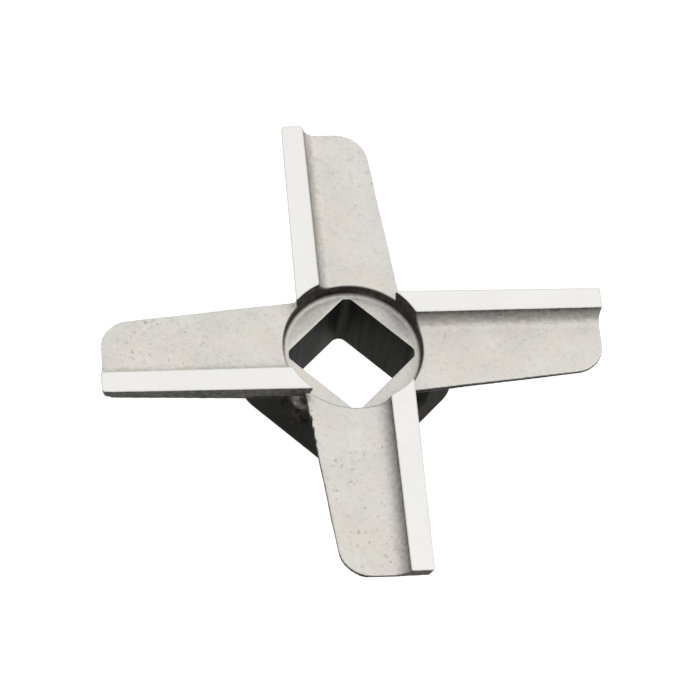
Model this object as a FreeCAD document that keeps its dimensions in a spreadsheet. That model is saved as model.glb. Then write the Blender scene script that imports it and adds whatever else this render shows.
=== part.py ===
# Meat grinder knife: one steel casting with four cutting arms round a square hub.
# Millimetres and degrees. The casting stands on the back face of its hub, with the
# ground cutting lands on top, and turns about Z. The flats of the drive hole lie
# along X and Y, so the arms point along the diagonals. The arms are drawn along
# X and Y in the body's own frame, and the whole body is turned at the end.

import FreeCAD, Part
import math
import os
import Sketcher

NODE = "grinder_knife"
ARMS = 4  # one on each corner of the square drive
FULL_TURN = 360
TOUCH = 0.001  # two places closer than this are the same
STEEP = 0.5  # an edge that rises by more than this share of its length is upright
ORIGIN_POINT = (-1, 1)  # the sketch's own origin, as a constraint names it
SKETCH_AXES = (-1, -2)  # its horizontal and its vertical axis, named the same way
UPWARDS = FreeCAD.Vector(0, 0, 1)
SIDEWAYS = FreeCAD.Vector(1, 0, 0)

# Driving sizes: name, value, meaning
SIZES = [
    ("hub_height", "16", "back face of the hub to the plane of the cutting lands"),
    ("drive_square", "14.3", "across the flats of the drive hole"),
    ("drive_corner", "1.4", "radius in the corners of the drive hole"),
    ("drive_turn", "45", "from an arm's centre line to a flat of the drive hole"),
    ("boss_wall", "5.6", "drive hole to the boss's flank, at the back face"),
    ("boss_corner", "4.6", "radius of the boss's upright corners, at the back face"),
    ("boss_draft", "0.5", "lean of the boss's flanks, wider towards the arms"),
    ("boss_edge", "3.5", "round between the boss's flanks and its back face"),
    ("shoulder_drop", "1.35", "foot of the leading walls down to the crotch's shoulder"),
    ("shoulder_ledge", "0.12", "flat left between the shoulder's cove and the flank"),
    ("root_inset", "0.3", "sides of the boss under an arm, inside the arm's sides"),
    ("root_round", "1.5", "hollow where an arm's underside meets the boss"),
    ("recess_ledge", "0.87", "drive hole's corners to the edge of the recess floor"),
    ("recess_depth", "4.2", "depth of the round recess below the lands"),
    ("recess_draft", "4", "lean of the recess wall, wider at the rim"),
    ("recess_corner", "0.4", "slant between the recess wall and its floor"),
    ("rim_wall", "0.56", "wall left round the recess between two arms"),
    ("arm_reach", "38.7", "drive axis to the end of a cutting land"),
    ("lead_inset", "2.4", "rim of the recess out past the line of a cutting edge"),
    ("wall_rake", "10", "undercut of an arm's leading wall and of its end"),
    ("edge_depth_axis", "5.25", "depth of the leading wall, at the drive axis"),
    ("edge_depth_tip", "2.55", "depth of the leading wall, at the tip"),
    ("land_width_axis", "3.8", "width of the cutting land, at the drive axis"),
    ("land_width_tip", "3.4", "width of the cutting land, at the tip"),
    ("grind_stock", "0.3", "what grinding takes off the top of the raw casting"),
    ("floor_step", "2.1", "cutting land down to the cast floor behind it"),
    ("cove_radius", "2.4", "hollow between the land and the floor"),
    ("trail_inset", "2", "rim of the recess out past a trailing edge, at the axis"),
    ("trail_offset_tip", "4.65", "centre line to the trailing edge, at the tip"),
    ("trail_depth_axis", "1.15", "thickness of the trailing edge, at the drive axis"),
    ("trail_depth_tip", "0.65", "thickness of the trailing edge, at the tip"),
    ("belly_radius", "60", "bulge of the arm's underside across the arm"),
    ("tip_corner", "4.7", "radius of the trailing corner at the tip, from above"),
]

# Places that follow from the driving sizes
DRIVE_HALF = "Sizes.drive_square / 2"
RAKE = "tan(Sizes.wall_rake * 1 deg)"
BOSS_HALF = "(Sizes.drive_square / 2 + Sizes.boss_wall)"
SHOULDER_LEVEL = "(Sizes.hub_height - Sizes.edge_depth_axis - Sizes.shoulder_drop)"
SHOULDER_HALF = "(%s + %s * tan(Sizes.boss_draft * 1 deg))" % (BOSS_HALF, SHOULDER_LEVEL)
DRIVE_REACH = "(Sizes.drive_square / 2 * sqrt(2) - Sizes.drive_corner * (sqrt(2) - 1))"
RECESS_LEVEL = "(Sizes.hub_height - Sizes.recess_depth)"
RECESS_FLOOR = "(%s + Sizes.recess_ledge)" % DRIVE_REACH
RECESS_RIM = "(%s + Sizes.recess_depth * tan(Sizes.recess_draft * 1 deg))" % RECESS_FLOOR
CROWN_RADIUS = "(%s + Sizes.rim_wall)" % RECESS_RIM
CROWN_COVE = "%s - %s - Sizes.shoulder_ledge" % (SHOULDER_HALF, CROWN_RADIUS)
EDGE_LINE = "(%s - Sizes.lead_inset)" % RECESS_RIM
LEAD_FOOT = "(%s - Sizes.edge_depth_axis * %s)" % (EDGE_LINE, RAKE)
TRAIL_AT_AXIS = "(%s - Sizes.trail_inset)" % RECESS_RIM
FLOOR_LEVEL = "(Sizes.hub_height - Sizes.floor_step)"
FLOOR_END = "(Sizes.arm_reach - Sizes.floor_step * %s)" % RAKE
TRAIL_SLOPE = "((%s - Sizes.trail_offset_tip) / %s)" % (TRAIL_AT_AXIS, FLOOR_END)
# The boss ends inside the arms, half way down their thinnest edge
ROOT_TOP = "(%s - Sizes.trail_depth_tip / 2)" % FLOOR_LEVEL


def make_sheet(document):
    """The spreadsheet that every feature below takes its sizes from."""
    sheet = document.addObject("Spreadsheet::Sheet", "Sizes")
    for row, (alias, value, meaning) in enumerate(SIZES, start=1):
        sheet.set("A%d" % row, meaning)
        sheet.set("B%d" % row, value)
        sheet.setAlias("B%d" % row, alias)
    document.recompute()
    return sheet


def origin_item(body, role):
    """One of the body's own origin planes or axes."""
    for item in body.Origin.OriginFeatures:
        if item.Role == role:
            return item
    raise ValueError("no origin item " + role)


def new_sketch(body, name, role):
    """An empty sketch on one of the body's origin planes."""
    sketch = body.newObject("Sketcher::SketchObject", name)
    sketch.AttachmentSupport = [(origin_item(body, role), "")]
    sketch.MapMode = "FlatFace"
    return sketch


def size_of(item, text):
    """What an expression comes to, as a plain number."""
    return float(item.evalExpression(text))


def point(across, up):
    """A place in a sketch."""
    return FreeCAD.Vector(across, up, 0)


def add_line(sketch, start, end):
    """A straight edge, as its number in the sketch."""
    return sketch.addGeometry(Part.LineSegment(start, end), False)


def add_arc(sketch, centre, radius, start, end):
    """An arc that runs anticlockwise from start to end, in degrees."""
    circle = Part.Circle(centre, UPWARDS, radius)
    arc = Part.ArcOfCircle(circle, math.radians(start), math.radians(end))
    return sketch.addGeometry(arc, False)


def tie(sketch, kind, *parts):
    """Add a constraint that has no value of its own."""
    sketch.addConstraint(Sketcher.Constraint(kind, *parts))


def join(sketch, kind, first, second):
    """Tie the end of one edge to the start of the next."""
    tie(sketch, kind, first, 2, second, 1)


def join_loop(sketch, edges):
    """Tie a run of edges into a closed loop."""
    for place, edge in enumerate(edges):
        join(sketch, "Coincident", edge, edges[(place + 1) % len(edges)])


def add_loop(sketch, corners):
    """A closed loop of straight edges, one from each corner to the next."""
    edges = []
    for place, corner in enumerate(corners):
        edges.append(add_line(sketch, corner, corners[(place + 1) % len(corners)]))
    join_loop(sketch, edges)
    return edges


def present_value(sketch, kind, parts):
    """What a constraint measures on the sketch as it is drawn."""
    if kind == "Radius":
        return sketch.Geometry[parts[0]].Radius
    span = sketch.getPoint(parts[2], parts[3]) - sketch.getPoint(parts[0], parts[1])
    return span.x if kind == "DistanceX" else span.y


def bind(sketch, name, kind, *parts):
    """Add a named constraint whose value, the last of parts, is an expression."""
    places = parts[:-1]
    value = present_value(sketch, kind, places)
    index = sketch.addConstraint(Sketcher.Constraint(kind, *places, value))
    sketch.renameConstraint(index, name)
    sketch.setExpression("Constraints." + name, parts[-1])


def rounded_square(sketch, half_text, corner_text):
    """A square centred on the sketch's origin, with its four corners rounded."""
    half = size_of(sketch, half_text)
    corner = size_of(sketch, corner_text)
    inner = half - corner
    edges = []
    for quarter in range(4):
        angle = 90 * quarter
        outward = point(math.cos(math.radians(angle)), math.sin(math.radians(angle)))
        along = point(-outward.y, outward.x)
        start = outward * half - along * inner
        end = outward * half + along * inner
        edges.append(add_line(sketch, start, end))
        centre = outward * inner + along * inner
        edges.append(add_arc(sketch, centre, corner, angle, angle + 90))
    for place, edge in enumerate(edges):
        join(sketch, "Tangent", edge, edges[(place + 1) % len(edges)])
    right, top, left, bottom = edges[0::2]
    corners = edges[1::2]
    for side in (right, left):
        tie(sketch, "Vertical", side)
    for side in (top, bottom):
        tie(sketch, "Horizontal", side)
    for arc in corners[1:]:
        tie(sketch, "Equal", corners[0], arc)
    bind(sketch, "corner", "Radius", corners[0], corner_text)
    bind(sketch, "to_right", "DistanceX", *ORIGIN_POINT, right, 1, half_text)
    bind(sketch, "to_top", "DistanceY", *ORIGIN_POINT, top, 1, half_text)
    bind(sketch, "to_left", "DistanceX", left, 1, *ORIGIN_POINT, half_text)
    bind(sketch, "to_bottom", "DistanceY", bottom, 1, *ORIGIN_POINT, half_text)


def crotch_outline(sketch):
    """The corner of the boss between the arm along X and the arm along Y."""
    lead_text = LEAD_FOOT + " - Sizes.root_inset"
    far_text = "Sizes.trail_offset_tip - Sizes.root_inset"
    inner_text = "%s - Sizes.root_inset - %s * (%s)" % (TRAIL_AT_AXIS, TRAIL_SLOPE, lead_text)
    end_text = "%s - Sizes.root_inset - %s * Sizes.arm_reach" % (TRAIL_AT_AXIS, TRAIL_SLOPE)
    lead = size_of(sketch, lead_text)
    reach = size_of(sketch, "Sizes.arm_reach")
    corners = [
        point(size_of(sketch, inner_text), lead),
        point(reach, lead),
        point(reach, reach),
        point(size_of(sketch, end_text), reach),
    ]
    edges = add_loop(sketch, corners)
    lead_line, outer_line, end_line, trail_line = edges
    tie(sketch, "Horizontal", lead_line)
    tie(sketch, "Vertical", outer_line)
    tie(sketch, "Horizontal", end_line)
    bind(sketch, "lead", "DistanceY", *ORIGIN_POINT, lead_line, 1, lead_text)
    bind(sketch, "inner", "DistanceX", *ORIGIN_POINT, lead_line, 1, inner_text)
    bind(sketch, "outer", "DistanceX", *ORIGIN_POINT, outer_line, 1, "Sizes.arm_reach")
    bind(sketch, "end", "DistanceY", *ORIGIN_POINT, end_line, 1, "Sizes.arm_reach")
    bind(sketch, "far", "DistanceX", *ORIGIN_POINT, trail_line, 1, end_text)


def arm_section(sketch, place, lean_text, trail_text):
    """The arm's raw section across its length; place is axis or tip, as in the sheet.

    Heights are measured from the plane that the lands are ground to. A section
    that leans in under the arm is longer along its slope than it is upright.
    """
    slope = " / cos(%s * 1 deg)" % lean_text
    depth_text = "Sizes.edge_depth_" + place
    lead_text = "%s + Sizes.grind_stock * %s" % (EDGE_LINE, RAKE)
    foot_text = "%s - %s * %s" % (EDGE_LINE, depth_text, RAKE)
    inner_text = "%s - Sizes.land_width_%s" % (EDGE_LINE, place)
    stock_text = "Sizes.grind_stock" + slope
    deep_text = depth_text + slope
    step_text = "Sizes.floor_step" + slope
    thin_text = "Sizes.trail_depth_" + place + slope

    inner = size_of(sketch, inner_text)
    stock = size_of(sketch, stock_text)
    step = size_of(sketch, step_text)
    trail = size_of(sketch, trail_text)
    cove = size_of(sketch, "Sizes.cove_radius")
    belly = size_of(sketch, "Sizes.belly_radius")
    run = math.sqrt(step * (2 * cove - step))
    raw_edge = point(size_of(sketch, lead_text), stock)
    wall_foot = point(size_of(sketch, foot_text), -size_of(sketch, deep_text))
    trail_foot = point(-trail, -step - size_of(sketch, thin_text))
    trail_top = point(-trail, -step)
    cove_foot = point(inner - run, -step)

    chord = wall_foot - trail_foot
    sag = math.sqrt(belly ** 2 - (chord.Length / 2) ** 2)
    middle = (wall_foot + trail_foot) * 0.5
    belly_centre = middle + point(-chord.y, chord.x) * (sag / chord.Length)
    to_trail = trail_foot - belly_centre
    to_wall = wall_foot - belly_centre

    top_line = add_line(sketch, raw_edge, point(inner, stock))
    inner_line = add_line(sketch, point(inner, stock), point(inner, 0))
    cove_arc = add_arc(
        sketch, cove_foot + point(0, cove), cove,
        -90, math.degrees(math.atan2(step - cove, run)),
    )
    floor_line = add_line(sketch, cove_foot, trail_top)
    trail_line = add_line(sketch, trail_top, trail_foot)
    belly_arc = add_arc(
        sketch, belly_centre, belly,
        math.degrees(math.atan2(to_trail.y, to_trail.x)),
        math.degrees(math.atan2(to_wall.y, to_wall.x)),
    )
    wall_line = add_line(sketch, wall_foot, raw_edge)

    join(sketch, "Coincident", wall_line, top_line)
    join(sketch, "Coincident", top_line, inner_line)
    join(sketch, "Coincident", floor_line, trail_line)
    join(sketch, "Coincident", trail_line, belly_arc)
    join(sketch, "Coincident", belly_arc, wall_line)
    tie(sketch, "Coincident", inner_line, 2, cove_arc, 2)
    tie(sketch, "Tangent", cove_arc, 1, floor_line, 1)
    tie(sketch, "PointOnObject", inner_line, 2, SKETCH_AXES[0])
    tie(sketch, "Horizontal", top_line)
    tie(sketch, "Horizontal", floor_line)
    tie(sketch, "Vertical", inner_line)
    tie(sketch, "Vertical", trail_line)
    bind(sketch, "raw_edge", "DistanceX", *ORIGIN_POINT, top_line, 1, lead_text)
    bind(sketch, "stock", "DistanceY", *ORIGIN_POINT, top_line, 1, stock_text)
    bind(sketch, "land_inner", "DistanceX", *ORIGIN_POINT, inner_line, 2, inner_text)
    bind(sketch, "wall_foot", "DistanceX", *ORIGIN_POINT, wall_line, 1, foot_text)
    bind(sketch, "deep", "DistanceY", wall_line, 1, *ORIGIN_POINT, deep_text)
    bind(sketch, "step", "DistanceY", floor_line, 2, *ORIGIN_POINT, step_text)
    bind(sketch, "cove", "Radius", cove_arc, "Sizes.cove_radius")
    bind(sketch, "trail", "DistanceX", trail_line, 1, *ORIGIN_POINT, trail_text)
    bind(sketch, "thin", "DistanceY", trail_line, 2, trail_line, 1, thin_text)
    bind(sketch, "belly", "Radius", belly_arc, "Sizes.belly_radius")


def tip_outline(sketch):
    """What lies outside the rounded trailing corner of the arm's tip."""
    length_text = "sqrt(1 + %s ^ 2)" % TRAIL_SLOPE
    across_text = FLOOR_END + " - Sizes.tip_corner"
    up_text = "%s * (%s) - %s + Sizes.tip_corner * %s" % (
        TRAIL_SLOPE, across_text, TRAIL_AT_AXIS, length_text)
    foot_text = "Sizes.tip_corner * %s / %s" % (TRAIL_SLOPE, length_text)
    outside_text = "Sizes.arm_reach + Sizes.tip_corner"
    corner = size_of(sketch, "Sizes.tip_corner")
    centre = point(size_of(sketch, across_text), size_of(sketch, up_text))
    foot = size_of(sketch, foot_text)
    on_trail = centre + point(foot, -math.sqrt(corner ** 2 - foot ** 2))
    on_end = centre + point(corner, 0)
    outside = size_of(sketch, outside_text)
    below = -size_of(sketch, TRAIL_AT_AXIS)
    turned = math.degrees(math.atan2(on_trail.y - centre.y, foot))
    places = [on_end, point(outside, on_end.y), point(outside, below),
              point(on_trail.x, below), on_trail]
    edges = [add_arc(sketch, centre, corner, turned, 0)]
    for start, finish in zip(places, places[1:]):
        edges.append(add_line(sketch, start, finish))
    join_loop(sketch, edges)
    corner_arc, out_line, far_line, low_line, in_line = edges
    for level in (out_line, low_line):
        tie(sketch, "Horizontal", level)
    for upright in (far_line, in_line):
        tie(sketch, "Vertical", upright)
    bind(sketch, "corner", "Radius", corner_arc, "Sizes.tip_corner")
    bind(sketch, "across", "DistanceX", *ORIGIN_POINT, corner_arc, 3, across_text)
    bind(sketch, "up", "DistanceY", *ORIGIN_POINT, corner_arc, 3, up_text)
    bind(sketch, "level", "DistanceY", *ORIGIN_POINT, out_line, 1, up_text)
    bind(sketch, "foot", "DistanceX", corner_arc, 3, corner_arc, 1, foot_text)
    bind(sketch, "outside", "DistanceX", *ORIGIN_POINT, far_line, 1, outside_text)
    bind(sketch, "below", "DistanceY", low_line, 1, *ORIGIN_POINT, TRAIL_AT_AXIS)


def recess_profile(sketch):
    """Half of the recess's section, to be turned about the drive axis."""
    floor = size_of(sketch, RECESS_LEVEL)
    height = size_of(sketch, "Sizes.hub_height")
    corners = [
        point(0, floor),
        point(size_of(sketch, RECESS_FLOOR), floor),
        point(size_of(sketch, RECESS_RIM), height),
        point(0, height),
    ]
    floor_line, wall_line, top_line, axis_line = add_loop(sketch, corners)
    for level in (floor_line, top_line):
        tie(sketch, "Horizontal", level)
    for end in (1, 2):
        tie(sketch, "PointOnObject", axis_line, end, SKETCH_AXES[1])
    bind(sketch, "height", "DistanceY", *ORIGIN_POINT, top_line, 2, "Sizes.hub_height")
    bind(sketch, "depth", "DistanceY", wall_line, 1, wall_line, 2, "Sizes.recess_depth")
    bind(sketch, "floor_reach", "DistanceX", *ORIGIN_POINT, floor_line, 2, RECESS_FLOOR)
    bind(sketch, "rim_reach", "DistanceX", *ORIGIN_POINT, top_line, 1, RECESS_RIM)


def edges_of(feature, wanted):
    """Names of the feature's edges that the test wanted picks out."""
    names = []
    for number, edge in enumerate(feature.Shape.Edges, start=1):
        if wanted(edge):
            names.append("Edge%d" % number)
    if not names:
        raise ValueError("no edge found on " + feature.Name)
    return names


def is_circle_at(edge, level):
    """Whether the edge is a level circle, or part of one, at that height."""
    if not isinstance(edge.Curve, Part.Circle):
        return False
    return abs(edge.BoundBox.ZMin - level) < TOUCH and abs(edge.BoundBox.ZMax - level) < TOUCH


def is_back_edge(edge):
    """Whether the edge is one of the boss's back face."""
    return edge.BoundBox.ZMax < TOUCH


def flank_gap(place, sheet):
    """How far a place lies outside the flanks of the boss, at its own height."""
    turned = FreeCAD.Rotation(UPWARDS, -sheet.drive_turn).multVec(place)
    inner = sheet.drive_square / 2 + sheet.boss_wall - sheet.boss_corner
    past_x = abs(turned.x) - inner
    past_y = abs(turned.y) - inner
    outside = math.hypot(max(past_x, 0), max(past_y, 0)) + min(max(past_x, past_y), 0)
    spread = place.z * math.tan(math.radians(sheet.boss_draft))
    return outside - sheet.boss_corner - spread


def is_root_edge(edge, sheet, shoulder):
    """Whether an arm's underside meets the boss's flanks along the edge."""
    box = edge.BoundBox
    if box.ZMin < shoulder + TOUCH or box.ZLength > STEEP * edge.Length:
        return False
    span = edge.LastParameter - edge.FirstParameter
    places = [edge.valueAt(edge.FirstParameter + span * share) for share in (0, 0.5, 1)]
    return all(abs(flank_gap(place, sheet)) < TOUCH for place in places)


def add_pad(body, name, sketch, length_text):
    """Raise a sketch by a length."""
    pad = body.newObject("PartDesign::Pad", name)
    pad.Profile = sketch
    pad.setExpression("Length", length_text)
    body.Document.recompute()
    return pad


def add_pocket(body, name, sketch, length_text):
    """Cut down from a sketch by a length."""
    pocket = body.newObject("PartDesign::Pocket", name)
    pocket.Profile = sketch
    pocket.setExpression("Length", length_text)
    body.Document.recompute()
    return pocket


def cut_up_through(body, name, sketch):
    """Cut away all that stands over a sketch."""
    pocket = body.newObject("PartDesign::Pocket", name)
    pocket.Profile = sketch
    pocket.Type = "ThroughAll"
    pocket.Reversed = True
    body.Document.recompute()
    return pocket


def add_pattern(body, name, *features):
    """Repeat features once for each arm, round the drive axis."""
    pattern = body.newObject("PartDesign::PolarPattern", name)
    pattern.Originals = list(features)
    pattern.Axis = (origin_item(body, "Z_Axis"), [""])
    pattern.Angle = FULL_TURN
    pattern.Occurrences = ARMS
    body.Tip = pattern
    body.Document.recompute()
    return pattern


def add_fillet(body, name, feature, wanted, radius_text):
    """Round the edges of the feature that the test wanted picks out."""
    fillet = body.newObject("PartDesign::Fillet", name)
    fillet.Base = (feature, edges_of(feature, wanted))
    fillet.setExpression("Radius", radius_text)
    body.Document.recompute()
    return fillet


def add_chamfer(body, name, feature, wanted, size_text):
    """Slant the edges of the feature that the test wanted picks out."""
    chamfer = body.newObject("PartDesign::Chamfer", name)
    chamfer.Base = (feature, edges_of(feature, wanted))
    chamfer.setExpression("Size", size_text)
    body.Document.recompute()
    return chamfer


def check(document, body):
    """Stop before anything is written if a feature failed or the solid is not sound."""
    for item in document.Objects:
        if "Invalid" in item.State or "Error" in item.State:
            raise ValueError("%s failed: %s" % (item.Label, item.getStatusString()))
    if body.Shape.isNull() or not body.Shape.isValid() or len(body.Shape.Solids) != 1:
        raise ValueError(body.Label + " is not one sound solid")


doc = FreeCAD.newDocument(NODE)
sizes = make_sheet(doc)
knife = doc.addObject("PartDesign::Body", "Knife")
knife.Label = NODE
flats_turned = FreeCAD.Placement(point(0, 0), FreeCAD.Rotation(UPWARDS, sizes.drive_turn))

# Boss: a square with barely leaning flanks that carries the drive behind the arms
boss_sketch = new_sketch(knife, "BossOutline", "XY_Plane")
boss_sketch.AttachmentOffset = flats_turned
rounded_square(boss_sketch, BOSS_HALF, "Sizes.boss_corner")
boss = add_pad(knife, "Boss", boss_sketch, ROOT_TOP)
boss.setExpression("TaperAngle", "Sizes.boss_draft")
doc.recompute()

# Crotches: between two arms the boss is cut down to a shoulder
crotch_sketch = new_sketch(knife, "CrotchOutline", "XY_Plane")
crotch_sketch.setExpression("AttachmentOffset.Base.z", ROOT_TOP)
crotch_outline(crotch_sketch)
crotch = add_pocket(knife, "Crotch", crotch_sketch, "%s - %s" % (ROOT_TOP, SHOULDER_LEVEL))
crotches = add_pattern(knife, "Crotches", crotch)

# Crown: the round wall of the recess between two arms, with a cove at its foot
crown_sketch = new_sketch(knife, "CrownOutline", "XY_Plane")
circle = Part.Circle(point(0, 0), UPWARDS, size_of(knife, CROWN_RADIUS))
crown_circle = crown_sketch.addGeometry(circle, False)
tie(crown_sketch, "Coincident", crown_circle, 3, *ORIGIN_POINT)
bind(crown_sketch, "radius", "Radius", crown_circle, CROWN_RADIUS)
crown = add_pad(knife, "Crown", crown_sketch, FLOOR_LEVEL)
shoulder_level = size_of(knife, SHOULDER_LEVEL)
cove = add_fillet(
    knife, "CrownCove", crown,
    lambda edge: is_circle_at(edge, shoulder_level), CROWN_COVE,
)
back_round = add_fillet(knife, "BackRound", cove, is_back_edge, "Sizes.boss_edge")

# Arm: from the drive axis out to the tip, thinner and narrower as it goes
sections = []
for station, reach_text, lean_text, trail_text in (
    ("axis", "0", "0", TRAIL_AT_AXIS),
    ("tip", "Sizes.arm_reach", "Sizes.wall_rake", "Sizes.trail_offset_tip"),
):
    section = new_sketch(knife, "ArmAt" + station.capitalize(), "YZ_Plane")
    lean = FreeCAD.Rotation(SIDEWAYS, size_of(knife, lean_text))
    section.AttachmentOffset = FreeCAD.Placement(point(0, sizes.hub_height), lean)
    section.setExpression("AttachmentOffset.Base.y", "Sizes.hub_height")
    section.setExpression("AttachmentOffset.Base.z", reach_text)
    section.setExpression("AttachmentOffset.Rotation.Angle", lean_text)
    arm_section(section, station, lean_text, trail_text)
    sections.append(section)
arm = knife.newObject("PartDesign::AdditiveLoft", "Arm")
arm.Profile = sections[0]
arm.Sections = sections[1:]
arm.Ruled = True
doc.recompute()

# Tip corner: the trailing corner of the arm is cut off in a round
tip_sketch = new_sketch(knife, "TipOutline", "XY_Plane")
tip_sketch.setExpression("AttachmentOffset.Base.z", "Sizes.hub_height")
tip_outline(tip_sketch)
tip = add_pocket(knife, "TipCorner", tip_sketch, "Sizes.hub_height")

# The other arms, and the hollows where the undersides of all four meet the boss
arms = add_pattern(knife, "Arms", arm, tip)
root = add_fillet(
    knife, "RootRound", arms,
    lambda edge: is_root_edge(edge, sizes, shoulder_level), "Sizes.root_round",
)

# Grinding: all four lands are brought to one plane
stone_sketch = new_sketch(knife, "StoneOutline", "XY_Plane")
stone_sketch.setExpression("AttachmentOffset.Base.z", "Sizes.hub_height")
stone_text = "Sizes.arm_reach + " + EDGE_LINE
circle = Part.Circle(point(0, 0), UPWARDS, size_of(knife, stone_text))
stone_circle = stone_sketch.addGeometry(circle, False)
tie(stone_sketch, "Coincident", stone_circle, 3, *ORIGIN_POINT)
bind(stone_sketch, "radius", "Radius", stone_circle, stone_text)
grinding = cut_up_through(knife, "Grinding", stone_sketch)

# Recess: the round hollow in the face of the hub
recess_sketch = new_sketch(knife, "RecessProfile", "XZ_Plane")
recess_profile(recess_sketch)
recess = knife.newObject("PartDesign::Groove", "Recess")
recess.Profile = recess_sketch
recess.ReferenceAxis = (recess_sketch, ["V_Axis"])
recess.Angle = FULL_TURN
doc.recompute()
recess_level = size_of(knife, RECESS_LEVEL)
recess_slant = add_chamfer(
    knife, "RecessCorner", recess,
    lambda edge: is_circle_at(edge, recess_level), "Sizes.recess_corner",
)

# Drive hole: the square hole that the worm's shank turns
hole_sketch = new_sketch(knife, "DriveOutline", "XY_Plane")
hole_sketch.AttachmentOffset = flats_turned
rounded_square(hole_sketch, DRIVE_HALF, "Sizes.drive_corner")
hole = cut_up_through(knife, "DriveHole", hole_sketch)

# The flats of the drive are turned onto X and Y
knife.Placement = flats_turned
doc.recompute()
check(doc, knife)
os.makedirs("parts", exist_ok=True)
knife.Shape.exportStep("parts/" + NODE + ".step")
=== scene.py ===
# %% [markdown]
# # A cast meat grinder knife
#
# The knife is one steel casting. Four arms stand on the corners of a square hub.
# Each arm carries a narrow ground land along its leading edge. Behind the land a
# cove runs down to the rough cast floor. The CAD model holds the true form, and
# this lesson turns a copy of it into a casting: rounded where sand met metal,
# crisp where a stone or a broach passed, and rough everywhere else.

# %% Load the frame
import math
import bpy
import numpy as np
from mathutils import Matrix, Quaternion, Vector


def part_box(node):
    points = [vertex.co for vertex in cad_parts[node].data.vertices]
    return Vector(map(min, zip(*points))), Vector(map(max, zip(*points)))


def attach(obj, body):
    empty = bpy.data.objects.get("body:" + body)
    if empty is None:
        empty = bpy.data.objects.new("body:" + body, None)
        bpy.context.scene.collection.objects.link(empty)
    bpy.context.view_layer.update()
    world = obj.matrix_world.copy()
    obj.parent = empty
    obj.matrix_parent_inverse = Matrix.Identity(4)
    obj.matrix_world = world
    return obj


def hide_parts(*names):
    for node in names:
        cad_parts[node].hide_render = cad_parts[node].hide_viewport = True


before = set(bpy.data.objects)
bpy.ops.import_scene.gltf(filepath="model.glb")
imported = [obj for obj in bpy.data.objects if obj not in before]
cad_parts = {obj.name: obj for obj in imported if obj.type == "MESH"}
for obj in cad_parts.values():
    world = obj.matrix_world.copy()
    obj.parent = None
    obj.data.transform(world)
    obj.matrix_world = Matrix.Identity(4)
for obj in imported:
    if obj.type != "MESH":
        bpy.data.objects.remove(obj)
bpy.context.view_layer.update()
cad_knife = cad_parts["grinder_knife"]

# %% [markdown]
# ## Sizes that the steps share
#
# Everything is in metres, and a millimetre is easier to read, so sizes are written
# as a number times MM. The plane of the lands and the reach of the arms are read
# off the CAD mesh. An arm is named by the direction that it points in, in degrees
# from X. A place on an arm is said as how far along it and how far across it, and
# across is positive towards the cutting edge.

# %% Shared sizes
MM = 0.001
LAND_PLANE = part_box("grinder_knife")[1].z
HOLE_HALF = 7.15 * MM
HOLE_CORNER = 1.4 * MM
EDGE_OFFSET = 8.3 * MM
ARM_ANGLES = (45, 135, 225, 315)


def corners_of(mesh):
    """The mesh's vertices as a table with one row for each."""
    table = np.empty(len(mesh.vertices) * 3)
    mesh.vertices.foreach_get("co", table)
    return table.reshape(-1, 3)


def along_arm(places, angle):
    """How far out along an arm each place is."""
    turn = math.radians(angle)
    return places[:, 0] * math.cos(turn) + places[:, 1] * math.sin(turn)


def across_arm(places, angle):
    """How far each place is from an arm's centre line, towards its cutting edge."""
    turn = math.radians(angle)
    return places[:, 1] * math.cos(turn) - places[:, 0] * math.sin(turn)


def from_hole(places):
    """How far each place is from the wall of the drive hole, on the steel's side."""
    past = np.maximum(abs(places[:, :2]) - (HOLE_HALF - HOLE_CORNER), 0)
    return np.hypot(past[:, 0], past[:, 1]) - HOLE_CORNER


def arm_place(angle, along, across, height):
    """The point at that place on an arm."""
    turn = math.radians(angle)
    return Vector((
        along * math.cos(turn) - across * math.sin(turn),
        along * math.sin(turn) + across * math.cos(turn),
        height,
    ))


ARM_REACH = along_arm(corners_of(cad_knife.data), ARM_ANGLES[0]).max()
print("lands at", round(LAND_PLANE / MM, 2), "mm, arms reach", round(ARM_REACH / MM, 2), "mm")

# %% [markdown]
# ## Selecting by place
#
# A person at the screen clicks on the faces that they want. A script has no mouse,
# so it works out which vertices or faces are wanted from where they are and which
# way they face, and marks just those before it enters edit mode.

# %% Selecting helpers
SELECT_MODES = {
    "vertices": (True, False, False),
    "edges": (False, True, False),
    "polygons": (False, False, True),
}


def pick(piece, kind, wanted):
    """Enter edit mode with only the wanted vertices, edges or polygons selected."""
    mesh = piece.data
    bpy.context.view_layer.objects.active = piece
    for name in SELECT_MODES:
        items = getattr(mesh, name)
        items.foreach_set("select", np.zeros(len(items), dtype=bool))
    getattr(mesh, kind).foreach_set("select", np.asarray(wanted, dtype=bool))
    bpy.context.scene.tool_settings.mesh_select_mode = SELECT_MODES[kind]
    bpy.ops.object.mode_set(mode="EDIT")


def leave_edit():
    """Back to object mode, which writes the edit into the mesh."""
    bpy.ops.object.mode_set(mode="OBJECT")


def faces_of(mesh):
    """The centre and the normal of each polygon."""
    centres = np.empty(len(mesh.polygons) * 3)
    normals = np.empty(len(mesh.polygons) * 3)
    mesh.polygons.foreach_get("center", centres)
    mesh.polygons.foreach_get("normal", normals)
    return centres.reshape(-1, 3), normals.reshape(-1, 3)


def apply_modifier(piece, name, kind, **settings):
    """Add a modifier with these settings and apply it at once."""
    modifier = piece.modifiers.new(name, kind)
    for setting, value in settings.items():
        setattr(modifier, setting, value)
    bpy.context.view_layer.objects.active = piece
    bpy.ops.object.modifier_apply(modifier=name)


print("can select", ", ".join(SELECT_MODES))

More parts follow.
